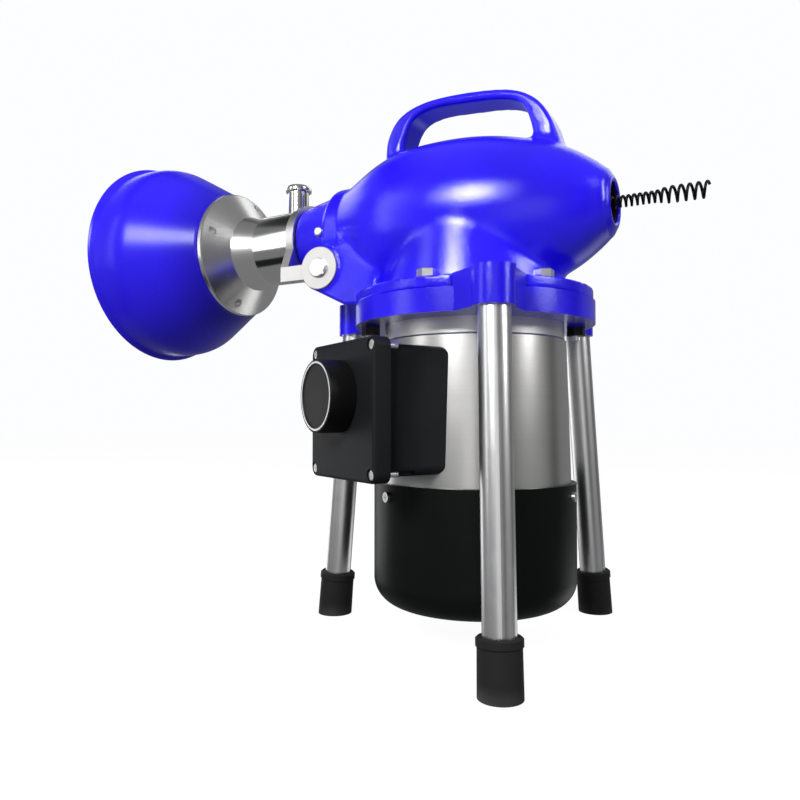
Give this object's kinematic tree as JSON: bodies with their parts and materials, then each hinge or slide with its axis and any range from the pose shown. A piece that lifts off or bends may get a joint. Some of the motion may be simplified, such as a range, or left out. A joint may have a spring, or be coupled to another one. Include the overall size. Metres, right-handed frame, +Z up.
{
  "type": "drain snake machine",
  "caption": "Electric drain cleaning machine: vertical motor on three tube legs, bevel gearbox with carrying handle, tilting bell-shaped cable guard and a wire auger at the tail.",
  "frame": {"origin": "floor level under the centre of the whole machine's footprint box", "axes": "+X along the hollow spindle towards the auger, +Y to the far side from the switch box, +Z up"},
  "size_m": [0.52, 0.2624, 0.4305],
  "materials": {
    "blue_enamel": "gloss cast enamel, slightly grainy",
    "blue_plastic": "smooth gloss",
    "turned_aluminium": "finely turned",
    "machined_steel": "machined",
    "polished_steel": "polished",
    "polished_tube": "polished tube",
    "foot_rubber": "moulded",
    "box_plastic": "fine grain",
    "knob_plastic": "satin",
    "cover_black": "satin black",
    "bright_screw": "zinc plated",
    "black_fastener": "black oxide",
    "bearing_steel": "ground",
    "gear_steel": "cut and oiled",
    "stator_plates": "laminated",
    "winding_wire": "enamelled copper",
    "bronze": "sintered bronze",
    "dark_bush": "worn nylon",
    "cable_steel": "oiled coil",
    "auger_wire": "black wire",
    "spring_steel": "spring steel",
    "fan_plastic": "moulded"
  },
  "bodies": {
    "frame": {"housing": "blue_enamel", "exit_bush": "dark_bush", "front_bearing_outer": "bearing_steel", "rear_bearing_outer": "bearing_steel", "front_circlip": "spring_steel", "pivot_screws": "bright_screw", "pivot_discs": "machined_steel", "nose_screws": "bright_screw", "leg_ring": "blue_enamel", "flange_bolts": "bright_screw", "flange_nuts": "black_fastener", "leg_front": "polished_tube", "leg_back": "polished_tube", "leg_bell_side": "polished_tube", "foot_front": "foot_rubber", "foot_back": "foot_rubber", "foot_bell_side": "foot_rubber", "end_shield": "turned_aluminium", "shaft_seal": "foot_rubber", "motor_shell": "turned_aluminium", "stator_core": "stator_plates", "stator_windings": "winding_wire", "low_shield": "turned_aluminium", "motor_bearing_outers": "bearing_steel", "fan_cover": "cover_black", "cover_screws": "bright_screw", "box_base": "box_plastic", "box_gasket": "foot_rubber", "box_lid": "box_plastic", "lid_screws": "bright_screw", "cord_gland": "box_plastic", "switch_body": "box_plastic", "capacitor": "box_plastic"},
    "rotor": {"motor_shaft": "gear_steel", "rotor_core": "stator_plates", "motor_bearing_inners": "bearing_steel", "cooling_fan": "fan_plastic", "bevel_pinion": "gear_steel"},
    "spindle": {"spindle": "bearing_steel", "ring_gear": "gear_steel", "gear_key": "gear_steel", "front_bearing_inner": "bearing_steel", "rear_bearing_inner": "bearing_steel"},
    "sleeve": {"clutch_sleeve": "bronze"},
    "jaw_top": {"jaw_top": "gear_steel"},
    "jaw_front": {"jaw_front": "gear_steel"},
    "jaw_back": {"jaw_back": "gear_steel"},
    "cable": {"drain_cable": "cable_steel", "auger": "auger_wire"},
    "head": {"yoke": "machined_steel", "collar": "polished_steel", "cone": "turned_aluminium", "cone_screws": "bright_screw", "bell": "blue_plastic", "plunger_body": "polished_steel", "return_springs": "spring_steel"},
    "plunger": {"plunger_knob": "polished_steel", "plunger_spring": "spring_steel"},
    "knob": {"switch_knob": "knob_plastic", "knob_ring": "bright_screw"}
  },
  "joints": [
    {"name": "rotor_spin", "type": "hinge", "parent": "frame", "child": "rotor", "pos_m": [0.08339, 0.00132, 0.18], "axis": [0, 0, 1], "continuous": true},
    {"name": "spindle_spin", "type": "hinge", "parent": "frame", "child": "spindle", "pos_m": [0.08339, 0.00132, 0.328], "axis": [1, 0, 0], "continuous": true},
    {"name": "head_tilt", "type": "hinge", "parent": "frame", "child": "head", "pos_m": [-0.03211, 0.00132, 0.294], "axis": [0, 1, 0], "range_deg": [-4, 0], "stiffness_Nm_per_rad": 12, "springref_deg": 17.19},
    {"name": "sleeve_slide", "type": "slide", "parent": "spindle", "child": "sleeve", "axis": [1, 0, 0], "range_m": [-0.0025, 0]},
    {"name": "jaw_top_slide", "type": "slide", "parent": "spindle", "child": "jaw_top", "axis": [0, 0, -1], "range_m": [0, 0.0012]},
    {"name": "jaw_front_slide", "type": "slide", "parent": "spindle", "child": "jaw_front", "axis": [0, 0.866, 0.5], "range_m": [0, 0.0012]},
    {"name": "jaw_back_slide", "type": "slide", "parent": "spindle", "child": "jaw_back", "axis": [0, -0.866, 0.5], "range_m": [0, 0.0012]},
    {"name": "cable_feed", "type": "slide", "parent": "spindle", "child": "cable", "axis": [1, 0, 0], "range_m": [-0.05, 0.05]},
    {"name": "plunger_pull", "type": "slide", "parent": "head", "child": "plunger", "axis": [0, 0, 1], "range_m": [0, 0.006], "stiffness_N_per_m": 600, "springref_m": -0.004, "deforming": ["plunger_spring"]},
    {"name": "knob_turn", "type": "hinge", "parent": "frame", "child": "knob", "pos_m": [0.02369, -0.10208, 0.186], "axis": [-0.5, -0.866, 0], "range_deg": [-45, 45]}
  ],
  "couplings": [
    {"joint": "spindle_spin", "follows": "rotor_spin", "ratio": 0.28571},
    {"joint": "sleeve_slide", "follows": "head_tilt", "m_per_rad": 0.0325},
    {"joint": "jaw_top_slide", "follows": "head_tilt", "m_per_rad": -0.01625},
    {"joint": "jaw_front_slide", "follows": "head_tilt", "m_per_rad": -0.01625},
    {"joint": "jaw_back_slide", "follows": "head_tilt", "m_per_rad": -0.01625}
  ]
}
